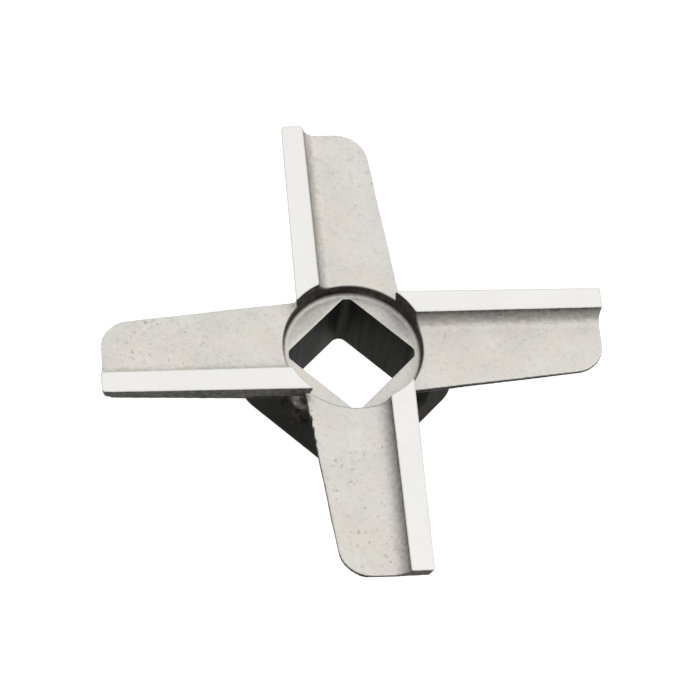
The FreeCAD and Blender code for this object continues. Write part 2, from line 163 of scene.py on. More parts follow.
# %% [markdown]
# ## The pattern for the casting
#
# A foundry starts from a pattern. Ours is a copy of the CAD mesh. The CAD mesh
# arrives as loose triangles, one set for each face, so the copy's doubles are
# merged, and triangles that lie in one plane are dissolved into whole faces.
# The CAD part itself stays untouched.

# %% Copy and clean the pattern
DOUBLE = 0.001 * MM
FLAT_ANGLE = math.radians(0.05)

bpy.ops.object.select_all(action="DESELECT")
knife = bpy.data.objects.new("cast_knife", cad_knife.data.copy())
bpy.context.scene.collection.objects.link(knife)
knife.data.materials.clear()
knife.select_set(True)
pick(knife, "polygons", np.ones(len(knife.data.polygons)))
bpy.ops.mesh.remove_doubles(threshold=DOUBLE)
bpy.ops.mesh.dissolve_limited(angle_limit=FLAT_ANGLE)
leave_edit()
print("pattern:", len(knife.data.vertices), "vertices,", len(knife.data.polygons), "faces")

# %% [markdown]
# ## No two arms alike
#
# On the real knife the arms come out a little longer or shorter than drawn. The
# tips are pulled in along their arms: all vertices beyond the start of the round
# corner are moved together, so each tip keeps its form. None reaches past the
# CAD model.

# %% Pull the tips in
TIP_LENGTH = 6.0 * MM
TIP_SHORT = {45: 0.4 * MM, 135: 0.25 * MM, 225: 0.6 * MM, 315: 0.0}

for angle, short in TIP_SHORT.items():
    inward = arm_place(angle, -short, 0, 0)
    places = corners_of(knife.data)
    pick(knife, "vertices", along_arm(places, angle) > ARM_REACH - TIP_LENGTH)
    bpy.ops.transform.translate(value=inward)
    leave_edit()
print("arm ends, mm:", {a: round((ARM_REACH - s) / MM, 2) for a, s in TIP_SHORT.items()})

# %% [markdown]
# ## Stock for the machined faces
#
# A face that will be ground is cast proud. The four lands are extruded up and the
# ring on the back of the boss is extruded down. Later a flat cut takes this stock
# off, and that is what makes those faces flat and their edges crisp.

# %% Extrude the stock
STOCK = 0.8 * MM
LEVEL = 0.999
NEAR = 0.01 * MM

centres, normals = faces_of(knife.data)
pick(knife, "polygons", (normals[:, 2] > LEVEL) & (centres[:, 2] > LAND_PLANE - NEAR))
bpy.ops.mesh.extrude_region_move(TRANSFORM_OT_translate={"value": (0, 0, STOCK)})
leave_edit()
centres, normals = faces_of(knife.data)
pick(knife, "polygons", (normals[:, 2] < -LEVEL) & (centres[:, 2] < NEAR))
bpy.ops.mesh.extrude_region_move(TRANSFORM_OT_translate={"value": (0, 0, -STOCK)})
leave_edit()
heights = corners_of(knife.data)[:, 2]
print("raw casting from", round(heights.min() / MM, 2), "to", round(heights.max() / MM, 2), "mm")

# %% [markdown]
# ## A flaw in one crotch
#
# In the crotch between the left arm and the front arm the mould has washed out a
# little, and a rough lump of steel is left in the corner. It is built from a few
# squashed ico spheres that overlap. Each is listed with its centre and its three
# half lengths, in millimetres. A Displace modifier with a small noise makes them
# ragged: middle grey moves nothing, lighter pushes out and darker pulls in. They
# are joined to the casting, and the next step melts them all together.

# %% Model the lump
LUMP_GRAINS = (
    ((-0.7, -12.2, 11.4), (1.8, 1.5, 1.2)),
    ((1.1, -12.0, 11.5), (1.3, 1.4, 1.1)),
    ((0.3, -13.8, 10.6), (1.7, 0.8, 1.2)),
    ((1.7, -13.0, 11.8), (0.6, 0.5, 0.6)),
)
LUMP_ROUGHNESS = 0.7 * MM
LUMP_GRIT = 0.6 * MM
GRAIN_DIVISIONS = 5
MIDDLE_GREY = 0.5

grit = bpy.data.textures.new("lump_grit", "CLOUDS")
grit.noise_scale = LUMP_GRIT
bpy.ops.object.select_all(action="DESELECT")
grains = []
for place, size in LUMP_GRAINS:
    bpy.ops.mesh.primitive_ico_sphere_add(
        subdivisions=GRAIN_DIVISIONS, radius=MM, location=Vector(place) * MM,
    )
    grain = bpy.context.object
    grain.scale = size
    bpy.ops.object.transform_apply(location=True, rotation=True, scale=True)
    apply_modifier(grain, "Ragged", "DISPLACE", texture=grit, texture_coords="LOCAL",
                   strength=LUMP_ROUGHNESS, mid_level=MIDDLE_GREY)
    grains.append(grain)
for piece in grains + [knife]:
    piece.select_set(True)
bpy.context.view_layer.objects.active = knife
bpy.ops.object.join()
print("joined", len(grains), "grains:", len(knife.data.vertices), "vertices")

# %% [markdown]
# ## Melt it into one skin
#
# Steel fills a mould as one body, with no seams between hub, arm and lump. The
# voxel remesh does the same: it wraps one closed skin of small even faces round
# everything. Small voxels keep the narrow coves and the thin edges.

# %% Voxel remesh
VOXEL = 0.18 * MM

apply_modifier(knife, "Skin", "REMESH", mode="VOXEL", voxel_size=VOXEL)
print("skin:", len(knife.data.polygons), "faces")

# %% [markdown]
# ## Round what the mould rounded
#
# Sand can't hold a sharp edge, so every cast edge is a little round. Smoothing the
# vertices does that, and the number of passes sets the radius. The leading walls
# of the arms were dressed, so they get fewer passes. The leading corners of two
# tips stayed sharp and get none. The walls of the drive hole get none either,
# because a broach cuts them after casting.

# %% Smooth the cast edges
HOLE_GUARD = 0.35 * MM
WALL_LEAN = 1.3 * MM
FIRST_PASSES = 1
MORE_PASSES = 1
PASS_STRENGTH = 0.5
SHARP_TIPS = (45, 315)
SHARP_CORNER = 1.2 * MM

places = corners_of(knife.data)
cast = from_hole(places) > HOLE_GUARD
leading = np.zeros(len(places), dtype=bool)
sharp = np.zeros(len(places), dtype=bool)
for angle in ARM_ANGLES:
    out = along_arm(places, angle)
    over = across_arm(places, angle)
    leading |= (out > EDGE_OFFSET) & (over > EDGE_OFFSET - WALL_LEAN)
    if angle in SHARP_TIPS:
        sharp |= (out > ARM_REACH - TIP_SHORT[angle] - SHARP_CORNER) & (over > 0)
for chosen, passes in ((cast & ~sharp, FIRST_PASSES), (cast & ~leading & ~sharp, MORE_PASSES)):
    pick(knife, "vertices", chosen)
    bpy.ops.mesh.vertices_smooth(factor=PASS_STRENGTH, repeat=passes)
    leave_edit()
    print("smoothed", int(chosen.sum()), "vertices,", passes, "times")

# %% [markdown]
# ## The leading corners of the tips
#
# The other two arms have lost the sharp outer corner of their land: it was knocked
# round in fettling. More smoothing passes on just the vertices near a corner
# round it further, and the size of the patch sets how far the round reaches.

# %% Round the tips' leading corners
CORNER_PATCH = {135: 1.3 * MM, 225: 1.5 * MM}
CORNER_PASSES = 40

for angle, patch in CORNER_PATCH.items():
    places = corners_of(knife.data)
    out = along_arm(places, angle) - (ARM_REACH - TIP_SHORT[angle] - patch)
    over = across_arm(places, angle) - (EDGE_OFFSET - patch)
    pick(knife, "vertices", (out > 0) & (over > 0))
    bpy.ops.mesh.vertices_smooth(factor=PASS_STRENGTH, repeat=CORNER_PASSES)
    leave_edit()
print("rounded", len(CORNER_PATCH), "leading corners")

# %% [markdown]
# ## Nicks where the gate was broken off
#
# The front arm has a torn edge beside the hub, on its trailing side. Each nick is
# made by proportional editing: the vertices at one place on the edge are pushed
# into the steel, and those around them follow less and less. A nick is listed with
# its place along and across the arm, its depth and its reach, in millimetres. The
# edge is thin, so the search for its nearest vertices counts height for less.

# %% Push in the nicks
NICK_ARM = 315
NICKS = (
    (12.2, -7.4, 0.30, 0.9), (13.0, -7.4, 0.12, 0.5), (14.0, -7.35, 0.24, 0.8),
    (14.7, -7.3, 0.08, 0.4), (15.9, -7.2, 0.14, 0.6), (17.6, -7.0, 0.08, 0.7),
)
NICK_HEIGHT = 13.4 * MM
NICK_GRAB = 0.05 * MM
HEIGHT_COUNTS = 1 / 3

for along, across, depth, reach in NICKS:
    place = np.array(arm_place(NICK_ARM, along * MM, across * MM, NICK_HEIGHT))
    away = corners_of(knife.data) - place
    distance = np.hypot(np.hypot(away[:, 0], away[:, 1]), away[:, 2] * HEIGHT_COUNTS)
    pick(knife, "vertices", distance < distance.min() + NICK_GRAB)
    inward = arm_place(NICK_ARM, 0, depth * MM, 0)
    bpy.ops.transform.translate(
        value=inward, use_proportional_edit=True,
        proportional_size=reach * MM, proportional_edit_falloff="SMOOTH",
    )
    leave_edit()
print("pushed in", len(NICKS), "nicks")

# %% [markdown]
# ## The cast surface
#
# A cast surface is never flat. It has slow swells where the sand gave, and small
# ragged pits where grains stuck. Each is a Displace modifier that reads a
# procedural noise. For the pits, a colour ramp keeps only the peaks of the noise.
# A vertex group keeps both off the drive hole, and weakens them on the leading
# walls and beside the lands, which are truer on the real knife. Towards the back
# they fade out step by step. The back face runs into its round at a grazing angle,
# so even a small swell there would make the outline of the ground ring wander.

# %% Displace the cast skin
SWELL_SIZE = 5.0 * MM
SWELL_HEIGHT = 0.12 * MM
PIT_SIZE = 0.8 * MM
PIT_DEPTH = 0.04 * MM
PIT_STARTS = 0.62
PIT_ENDS = 0.84
NOISE_DEPTH = 1
TRUE_WALL = 0.2
TRUE_RIM = 1.0 * MM
TRUE_BACK = 2.4 * MM
BACK_WEIGHTS = (0.9, 0.8, 0.7, 0.6, 0.5, 0.4, 0.3, 0.2, 0.1)
BLACK = (0, 0, 0, 1)
WHITE = (1, 1, 1, 1)

places = corners_of(knife.data)
cast_skin = knife.vertex_groups.new(name="cast_skin")
cast = from_hole(places) > HOLE_GUARD
cast_skin.add(np.flatnonzero(cast).tolist(), 1.0, "REPLACE")
for weight in BACK_WEIGHTS:
    near_back = cast & (places[:, 2] < TRUE_BACK * weight)
    cast_skin.add(np.flatnonzero(near_back).tolist(), weight, "REPLACE")
true = leading | (places[:, 2] > LAND_PLANE - TRUE_RIM)
cast_skin.add(np.flatnonzero(cast & true).tolist(), TRUE_WALL, "REPLACE")

swell = bpy.data.textures.new("sand_swell", "CLOUDS")
swell.noise_scale = SWELL_SIZE
swell.noise_depth = NOISE_DEPTH
apply_modifier(knife, "Swell", "DISPLACE", texture=swell, texture_coords="LOCAL",
               vertex_group="cast_skin", strength=SWELL_HEIGHT, mid_level=MIDDLE_GREY)

pits = bpy.data.textures.new("sand_pits", "CLOUDS")
pits.noise_scale = PIT_SIZE
pits.noise_depth = NOISE_DEPTH
pits.use_color_ramp = True
pits.color_ramp.elements[0].position = PIT_STARTS
pits.color_ramp.elements[0].color = BLACK
pits.color_ramp.elements[1].position = PIT_ENDS
pits.color_ramp.elements[1].color = WHITE
apply_modifier(knife, "Pits", "DISPLACE", texture=pits, texture_coords="LOCAL",
               vertex_group="cast_skin", strength=-PIT_DEPTH, mid_level=0.0)
print("swells of", SWELL_HEIGHT / MM, "mm, pits of up to", PIT_DEPTH / MM, "mm")

# %% [markdown]
# ## Fewer triangles
#
# The skin has more faces than it needs on its flatter stretches. Decimate in its
# collapse mode takes them out where they say least and keeps the dents and edges.

# %% Decimate
TRIANGLE_GOAL = 185000

triangles = 2 * len(knife.data.polygons)
apply_modifier(knife, "Lighter", "DECIMATE", ratio=TRIANGLE_GOAL / triangles)
print("now", len(knife.data.polygons), "triangles")

# %% [markdown]
# ## Grind the lands and face the back
#
# The knife is ground flat so that its lands meet the plate without a gap, and the
# back of the boss is faced so that it sits square. Bisect is the stone: one cut at
# the plane of the lands and one at the back, each with the waste cleared and the
# opening filled. Both cuts stay a few thousandths of a millimetre inside the CAD
# part. The lands are cut a hair lower than that, and an inset that also lifts them
# leaves the fine dull border that wear puts round a land. The crumbs of edge that
# a cut leaves are merged before and after, or the inset would fold them over. The
# inner outline is marked sharp, so that the land itself shades dead flat.

# %% Grind and face
def grind(piece, height, direction):
    """Cut a piece flat at a height; direction, 1 or -1, is the side that goes."""
    pick(piece, "polygons", np.ones(len(piece.data.polygons)))
    bpy.ops.mesh.bisect(
        plane_co=(0, 0, height), plane_no=(0, 0, direction),
        use_fill=True, clear_outer=True, threshold=DOUBLE,
    )
    leave_edit()


HONE_WIDTH = 0.15 * MM
HONE_CUT = 0.033 * MM
HONE_LIFT = 0.030 * MM
CRUMB = 0.10 * MM
BACK_CUT = 0.003 * MM

grind(knife, LAND_PLANE - HONE_CUT, 1)
grind(knife, BACK_CUT, -1)
centres, normals = faces_of(knife.data)
lands = (normals[:, 2] > LEVEL) & (centres[:, 2] > LAND_PLANE - HONE_CUT - NEAR)
pick(knife, "polygons", lands)
bpy.ops.mesh.remove_doubles(threshold=CRUMB)
bpy.ops.mesh.inset(thickness=HONE_WIDTH, depth=HONE_LIFT)
bpy.ops.mesh.remove_doubles(threshold=CRUMB)
bpy.ops.mesh.region_to_loop()
bpy.ops.mesh.mark_sharp()
leave_edit()
knife.vertex_groups.clear()
heights = corners_of(knife.data)[:, 2]
print("ground from", round(heights.min() / MM, 3), "to", round(heights.max() / MM, 3), "mm")

# %% [markdown]
# ## The camera
#
# The camera stands where the photographer stood: above and in front, and tilted a
# little. Its place is given from the point that it looks at, by a compass angle,
# a height angle and a distance. The focal length comes from the photograph, where
# a long lens flattens the knife.

# %% Place the camera
PHOTO_WIDTH = 700
FOCAL_PIXELS = 3241.35
LOOK_AT = Vector((0.699, -1.980, 16.0)) * MM
CAMERA_COMPASS = math.radians(-60.430)
CAMERA_HEIGHT = math.radians(58.713)
CAMERA_TILT = math.radians(12.265)
CAMERA_DISTANCE = 481.97 * MM
SENSOR_WIDTH = 36.0
NEAREST_SEEN = 0.01

camera_data = bpy.data.cameras.new("camera")
camera_data.sensor_width = SENSOR_WIDTH
camera_data.lens = SENSOR_WIDTH * FOCAL_PIXELS / PHOTO_WIDTH
camera_data.clip_start = NEAREST_SEEN
camera = bpy.data.objects.new("camera", camera_data)
bpy.context.scene.collection.objects.link(camera)
towards = Vector((
    math.cos(CAMERA_HEIGHT) * math.cos(CAMERA_COMPASS),
    math.cos(CAMERA_HEIGHT) * math.sin(CAMERA_COMPASS),
    math.sin(CAMERA_HEIGHT),
))
camera.location = LOOK_AT + towards * CAMERA_DISTANCE
camera.rotation_mode = "QUATERNION"
camera.rotation_quaternion = towards.to_track_quat("Z", "Y") @ Quaternion((0, 0, 1), CAMERA_TILT)
bpy.context.scene.camera = camera
print("lens", round(camera_data.lens, 1), "mm")

# %% [markdown]
# ## Materials
#
# The knife shows three finishes, and they are all one steel. The cast skin is light
# and matt on level faces, and painted darker on steep walls and in pockets, as
# painted shade. The lands are ground bright. The walls of the drive hole were cut,
# and their colour is painted near black, as painted shade.
#
# The helpers below place one node each, or a short row of them. A value that a
# helper takes may be a plain number or another node's output.

# %% Helpers that place and feed a node
def add_node(tree, kind, label, **values):
    """A shader node whose inputs are set by name."""
    node = tree.nodes.new(kind)
    node.label = label
    for name, value in values.items():
        node.inputs[name.replace("_", " ")].default_value = value
    return node


def feed(tree, socket, source):
    """Give an input a plain value or link it to an output."""
    if isinstance(source, bpy.types.NodeSocket):
        tree.links.new(source, socket)
    else:
        socket.default_value = source


def math_node(tree, operation, first, second):
    """One Math node."""
    node = tree.nodes.new("ShaderNodeMath")
    node.operation = operation
    feed(tree, node.inputs[0], first)
    feed(tree, node.inputs[1], second)
    return node.outputs["Value"]


def product(tree, *factors):
    """Several numbers multiplied, one Math node after the other."""
    result = factors[0]
    for factor in factors[1:]:
        result = math_node(tree, "MULTIPLY", result, factor)
    return result


print("helpers: add_node, feed, math_node, product")

# %% [markdown]
# Map Range does most of the work in these materials. It turns a height, a distance
# or a noise into a mask or a level. The middle of a noise holds nearly all of its
# values, so a noise is read over that middle only, or its effect would be faint.

# %% Helpers for ranges and colours
NOISE_MIDDLE = (0.3, 0.7)


def map_range(tree, source, from_min, from_max, to_min, to_max, smooth=False):
    """Stretch one range of numbers over another, and clamp at both ends."""
    node = tree.nodes.new("ShaderNodeMapRange")
    if smooth:
        node.interpolation_type = "SMOOTHSTEP"
    for name, value in (("From Min", from_min), ("From Max", from_max),
                        ("To Min", to_min), ("To Max", to_max)):
        node.inputs[name].default_value = value
    tree.links.new(source, node.inputs["Value"])
    return node.outputs["Result"]


def swing(tree, noise, least, most):
    """Let a noise swing a value between least and most."""
    return map_range(tree, noise, *NOISE_MIDDLE, least, most)


def mix_colour(tree, factor, first, second):
    """A mix of two colours."""
    node = tree.nodes.new("ShaderNodeMix")
    node.data_type = "RGBA"
    tree.links.new(factor, node.inputs["Factor"])
    for slot, source in (("A", first), ("B", second)):
        socket = next(s for s in node.inputs if s.name == slot and s.type == "RGBA")
        feed(tree, socket, source)
    return next(s for s in node.outputs if s.type == "RGBA")


def scale_colour(tree, colour, level):
    """A colour made lighter or darker by a number."""
    node = tree.nodes.new("ShaderNodeVectorMath")
    node.operation = "SCALE"
    feed(tree, node.inputs["Vector"], colour)
    feed(tree, node.inputs["Scale"], level)
    return node.outputs["Vector"]


print("a noise is read from", NOISE_MIDDLE[0], "to", NOISE_MIDDLE[1])

# %% [markdown]
# Every finish starts from a Principled BSDF. What is the same all over a surface is
# set straight on the shader, and what changes is linked to it. The pattern follows
# the knife's own coordinates, so it is fixed to the steel.

# %% Helpers for a whole material
def add_bump(tree, shader, height, distance, strength):
    """A Bump node from a height to the shader's Normal."""
    bump = add_node(tree, "ShaderNodeBump", "relief", Distance=distance, Strength=strength)
    tree.links.new(height, bump.inputs["Height"])
    tree.links.new(bump.outputs["Normal"], shader.inputs["Normal"])


def new_material(name, specular):
    """A node material, its tree and shader, and the piece's own coordinates."""
    material = bpy.data.materials.new(name)
    material.use_nodes = True
    tree = material.node_tree
    shader = tree.nodes["Principled BSDF"]
    shader.inputs["Specular IOR Level"].default_value = specular
    coordinates = tree.nodes.new("ShaderNodeTexCoord")
    return material, tree, shader, coordinates.outputs["Object"]


print("helpers: add_bump, new_material")

# %% [markdown]
# ### Mottle, for every finish
#
# Bare steel is uneven in tone at three scales: soft clouds some millimetres wide,
# a finer mottle below one millimetre, and small dark pits and bright glints, which
# are painted highlights. All finishes use it with their own sizes, so it is a node
# group with named inputs. Pits and glints are the highest peaks of a fine noise,
# which gives them ragged outlines and many sizes. Its colour output holds separate
# noises, so pits and glints don't fall in the same places. A second, slow noise thins
# them out, so that some areas are pitted and others nearly clean.

# %% The mottle group
GROUP_INPUTS = (
    ("Vector", "NodeSocketVector"),
    ("Cloud Scale", "NodeSocketFloat"),
    ("Mottle Scale", "NodeSocketFloat"),
    ("Pit Scale", "NodeSocketFloat"),
)
GROUP_OUTPUTS = ("Cloud", "Warmth", "Mottle", "Pits", "Painted Glints")
DETAIL_AND_ROUGHNESS = {"Cloud": (2.0, 0.5), "Mottle": (3.0, 0.62), "Pit": (2.0, 0.55)}
PATCH_SCALE = 60.0
PATCH_DETAIL = 1.0
PATCH_RANGE = (0.42, 0.60)
FEWEST_PITS = 0.10
PEAK_RANGE = (0.645, 0.72)


def make_mottle_group():
    """Noises of three sizes, and the peaks of the finest."""
    group = bpy.data.node_groups.new("steel mottle", "ShaderNodeTree")
    for name, kind in GROUP_INPUTS:
        group.interface.new_socket(name, in_out="INPUT", socket_type=kind)
    for name in GROUP_OUTPUTS:
        group.interface.new_socket(name, in_out="OUTPUT", socket_type="NodeSocketFloat")
    given = group.nodes.new("NodeGroupInput").outputs
    wanted = group.nodes.new("NodeGroupOutput").inputs
    split = {}
    for name, (detail, roughness) in DETAIL_AND_ROUGHNESS.items():
        noise = add_node(group, "ShaderNodeTexNoise", name, Detail=detail, Roughness=roughness)
        feed(group, noise.inputs["Scale"], given[name + " Scale"])
        feed(group, noise.inputs["Vector"], given["Vector"])
        channels = group.nodes.new("ShaderNodeSeparateColor")
        feed(group, channels.inputs["Color"], noise.outputs["Color"])
        split[name] = channels.outputs
    patches = add_node(group, "ShaderNodeTexNoise", "patches",
                       Scale=PATCH_SCALE, Detail=PATCH_DETAIL)
    feed(group, patches.inputs["Vector"], given["Vector"])
    pitted = map_range(group, patches.outputs["Fac"], *PATCH_RANGE, FEWEST_PITS, 1.0)
    feed(group, wanted["Cloud"], split["Cloud"]["Red"])
    feed(group, wanted["Warmth"], split["Cloud"]["Green"])
    feed(group, wanted["Mottle"], split["Mottle"]["Red"])
    for name, channel in (("Pits", "Red"), ("Painted Glints", "Green")):
        peaks = map_range(group, split["Pit"][channel], *PEAK_RANGE, 0.0, 1.0)
        feed(group, wanted[name], product(group, peaks, pitted))
    return group


def add_mottle(tree, vector, cloud, mottle, pit):
    """Place the mottle group with its own three scales."""
    node = tree.nodes.new("ShaderNodeGroup")
    node.node_tree = mottle_group
    for (name, kind), source in zip(GROUP_INPUTS, (vector, cloud, mottle, pit)):
        feed(tree, node.inputs[name], source)
    return node.outputs


mottle_group = make_mottle_group()
print("mottle group:", len(mottle_group.nodes), "nodes")

# %% [markdown]
# ### The cast skin
#
# Steep walls are painted darker than level faces, as painted shade. Geometry gives
# the normal, and its Z, up or down, says how level a face is, so a level face is
# clean grey steel and a wall takes a dark colour of painted shade. The pockets
# between the arms and the wall of the recess get darker painted shade still. They
# are found by how far they are from the axis and how high they lie. The undersides
# stay clean. The mottle blurs every border.
#
# The painted shade is not metal, so the same mask also feeds Metallic.
# A Bump node adds the grain of the sand, which is finer than the mesh.

# %% The mask of the painted wall shade
# Painted shade: a wall gets a dark colour and a level face a light one, by the Z of its normal.
WALL_SHADE_RANGE = (0.06, 0.99)
BORDER_BLUR = 0.11


def facing_up(tree):
    """The Z of the normal: 1 facing up, 0 on a wall, -1 facing down."""
    geometry = tree.nodes.new("ShaderNodeNewGeometry")
    normal = tree.nodes.new("ShaderNodeSeparateXYZ")
    feed(tree, normal.inputs["Vector"], geometry.outputs["Normal"])
    return normal.outputs["Z"]


def add_painted_wall_shade_mask(tree, marks):
    """Painted wall shade: 0 on a wall, 1 on a level face, with a ragged border."""
    level = math_node(tree, "ABSOLUTE", facing_up(tree), 0.0)
    blur = swing(tree, marks["Mottle"], -BORDER_BLUR, BORDER_BLUR)
    return map_range(tree, math_node(tree, "ADD", level, blur), *WALL_SHADE_RANGE, 0.0, 1.0)


print("the border of the painted wall shade wanders by", BORDER_BLUR)

# %% The mask of the painted pocket shade
# Painted shade: this mask darkens the pockets between the arms and the rim of the recess.
RECESS_EDGE = (10.1 * MM, 10.5 * MM)
RECESS_RIM = (10.62 * MM, 10.8 * MM)
RIM_PAINTED_SHADE = 0.5
POCKET_END = (16.6 * MM, 21.0 * MM)
POCKET_TOP = (12.8 * MM, 13.4 * MM)
POCKET_WANDER = 0.8 * MM
UNDERSIDE = (-0.85, -0.55)


def from_axis(tree, place):
    """How far a place is from the drive axis."""
    flat = tree.nodes.new("ShaderNodeCombineXYZ")
    feed(tree, flat.inputs["X"], place.outputs["X"])
    feed(tree, flat.inputs["Y"], place.outputs["Y"])
    radius = tree.nodes.new("ShaderNodeVectorMath")
    radius.operation = "LENGTH"
    feed(tree, radius.inputs[0], flat.outputs["Vector"])
    return radius.outputs["Value"]


def add_painted_pocket_shade(tree, vector, marks):
    """Painted shade: from 0 outside the pockets to 1 inside."""
    place = tree.nodes.new("ShaderNodeSeparateXYZ")
    feed(tree, place.inputs["Vector"], vector)
    radius = from_axis(tree, place)
    wander = swing(tree, marks["Cloud"], 0.0, POCKET_WANDER)
    height = math_node(tree, "ADD", place.outputs["Z"], wander)
    outside_recess = map_range(tree, radius, *RECESS_EDGE, 0.0, 1.0, smooth=True)
    near_hub = map_range(tree, radius, *POCKET_END, 1.0, 0.0, smooth=True)
    low = map_range(tree, height, *POCKET_TOP, 1.0, 0.0, smooth=True)
    rim = map_range(tree, radius, *RECESS_RIM, RIM_PAINTED_SHADE, 0.0, smooth=True)
    deep_painted_shade = math_node(tree, "MAXIMUM", low, rim)
    not_below = map_range(tree, facing_up(tree), *UNDERSIDE, 0.0, 1.0)
    return product(tree, outside_recess, near_hub, deep_painted_shade, not_below)


print("pockets fade from", round(POCKET_END[0] / MM, 1), "mm from the axis")

# %% [markdown]
# The colours and levels of the cast skin come next. Two steels, one a little warmer,
# mix in clouds. Pits darken them, and glints, which are painted highlights, lighten
# them. Painted shade on the open walls is lighter than in the pockets, and all of it
# is patchy.

# %% Cast skin material
WARM_STEEL = (0.776, 0.745, 0.690, 1)
COOL_STEEL = (0.758, 0.745, 0.705, 1)
# Painted shade: the three colours below darken walls, pockets and their shelves.
WALL_PAINTED_SHADE = (0.090, 0.086, 0.077, 1)
POCKET_PAINTED_SHADE = (0.028, 0.028, 0.024, 1)
POCKET_SHELF_PAINTED_SHADE = (0.050, 0.048, 0.042, 1)
SKIN_SPECULAR = 0.02
SKIN_SCALES = (150.0, 1400.0, 1700.0)
SKIN_ROUGHNESS = (0.50, 0.66)
WARM_RANGE = (0.35, 0.65)
PATCHY_PAINTED_SHADE = (0.75, 1.3)
CLOUD_LEVEL = (0.95, 1.03)
MOTTLE_LEVEL = (0.94, 1.04)
PIT_LEVEL = 0.66
# Painted highlights: glints lighten the colour by this level.
PAINTED_GLINT_LEVEL = 1.18
PIT_SINKS = -0.9
GRAIN_HEIGHT = 0.04 * MM
GRAIN_STRENGTH = 0.6


def make_cast_skin():
    """Light steel on level faces, with painted shade on walls and in pockets."""
    material, tree, shader, vector = new_material("cast skin", SKIN_SPECULAR)
    marks = add_mottle(tree, vector, *SKIN_SCALES)
    free_of_wall_shade = add_painted_wall_shade_mask(tree, marks)
    pocket_shade = add_painted_pocket_shade(tree, vector, marks)
    # Where this is 1, no painted shade darkens the colour.
    free_of_painted_shade = math_node(tree, "MULTIPLY", free_of_wall_shade, math_node(tree, "SUBTRACT", 1.0, pocket_shade))
    warmth = map_range(tree, marks["Warmth"], *WARM_RANGE, 0.0, 1.0)
    steel = mix_colour(tree, warmth, COOL_STEEL, WARM_STEEL)
    # The painted shade colour: lighter on open walls, darker in pockets, and patchy.
    deep_painted_shade = mix_colour(tree, free_of_wall_shade, POCKET_PAINTED_SHADE, POCKET_SHELF_PAINTED_SHADE)
    scale = mix_colour(tree, pocket_shade, WALL_PAINTED_SHADE, deep_painted_shade)
    patchy = scale_colour(tree, scale, swing(tree, marks["Warmth"], *PATCHY_PAINTED_SHADE))
    tone = mix_colour(tree, free_of_painted_shade, patchy, steel)
    level = product(
        tree,
        swing(tree, marks["Cloud"], *CLOUD_LEVEL),
        swing(tree, marks["Mottle"], *MOTTLE_LEVEL),
        map_range(tree, marks["Pits"], 0.0, 1.0, 1.0, PIT_LEVEL),
        map_range(tree, marks["Painted Glints"], 0.0, 1.0, 1.0, PAINTED_GLINT_LEVEL),
    )
    feed(tree, shader.inputs["Base Color"], scale_colour(tree, tone, level))
    feed(tree, shader.inputs["Metallic"], free_of_painted_shade)
    feed(tree, shader.inputs["Roughness"], swing(tree, marks["Mottle"], *SKIN_ROUGHNESS))
    sunk = product(tree, marks["Pits"], PIT_SINKS)
    grain = math_node(tree, "ADD", marks["Mottle"], sunk)
    add_bump(tree, shader, grain, GRAIN_HEIGHT, GRAIN_STRENGTH)
    return material


cast_skin_material = make_cast_skin()
print("cast skin:", len(cast_skin_material.node_tree.nodes), "nodes")

# %% [markdown]
# ### The ground lands
#
# A stone leaves bright steel with faint scratches. The knife turns on its plate as
# it runs in, so the scratches are arcs round the drive axis. A Wave texture in its
# rings mode, measured from the axis, draws them, and a noise breaks them up.

# %% Ground land material
LAND_STEEL = (0.818, 0.812, 0.788)
LAND_SPECULAR = 0.5
LAND_SCALES = (120.0, 700.0, 1800.0)
LAND_ROUGHNESS = (0.28, 0.32)
LAND_CLOUDS = (0.985, 1.01)
SCRATCH_SCALE = 460.0
SCRATCH_WANDER = 3.0
SCRATCH_DETAIL = 3.0
SCRATCH_DETAIL_SCALE = 0.6
SCRATCH_LEVEL = (0.994, 1.004)
SCRATCH_HEIGHT = 0.001 * MM
SCRATCH_STRENGTH = 0.5


def make_ground_land():
    """Bright steel with faint arcs."""
    material, tree, shader, vector = new_material("ground land", LAND_SPECULAR)
    shader.inputs["Metallic"].default_value = 1.0
    marks = add_mottle(tree, vector, *LAND_SCALES)
    rings = add_node(tree, "ShaderNodeTexWave", "scratches",
                     Scale=SCRATCH_SCALE, Distortion=SCRATCH_WANDER,
                     Detail=SCRATCH_DETAIL, Detail_Scale=SCRATCH_DETAIL_SCALE)
    rings.wave_type = "RINGS"
    rings.rings_direction = "Z"
    feed(tree, rings.inputs["Vector"], vector)
    arcs = rings.outputs["Fac"]
    level = product(
        tree,
        swing(tree, marks["Cloud"], *LAND_CLOUDS),
        map_range(tree, arcs, 0.0, 1.0, *SCRATCH_LEVEL),
    )
    feed(tree, shader.inputs["Base Color"], scale_colour(tree, LAND_STEEL, level))
    feed(tree, shader.inputs["Roughness"], map_range(tree, arcs, 0.0, 1.0, *LAND_ROUGHNESS))
    add_bump(tree, shader, arcs, SCRATCH_HEIGHT, SCRATCH_STRENGTH)
    return material


ground_land_material = make_ground_land()
print("ground land:", len(ground_land_material.node_tree.nodes), "nodes")

# %% [markdown]
# ### The walls of the drive hole
#
# A broach is pushed through along the axis, so its marks run up and down the walls.
# A noise stretched along Z draws them. The steel here is painted near black, as
# painted shade inside the hole, and Metallic is zero.

# %% Drive hole material
# Painted shade: the walls of the drive hole get a near-black colour.
HOLE_PAINTED_SHADE = (0.014, 0.014, 0.0115)
HOLE_SPECULAR = 0.1
HOLE_SCALES = (140.0, 800.0, 1200.0)
HOLE_ROUGHNESS = (0.48, 0.62)
HOLE_CLOUDS = (0.7, 1.3)
BROACH_STRETCH = (1.0, 1.0, 0.04)
BROACH_SCALE = 2600.0
BROACH_DETAIL = 2.0
BROACH_LEVEL = (0.9, 1.1)
BROACH_HEIGHT = 0.015 * MM
BROACH_STRENGTH = 0.5


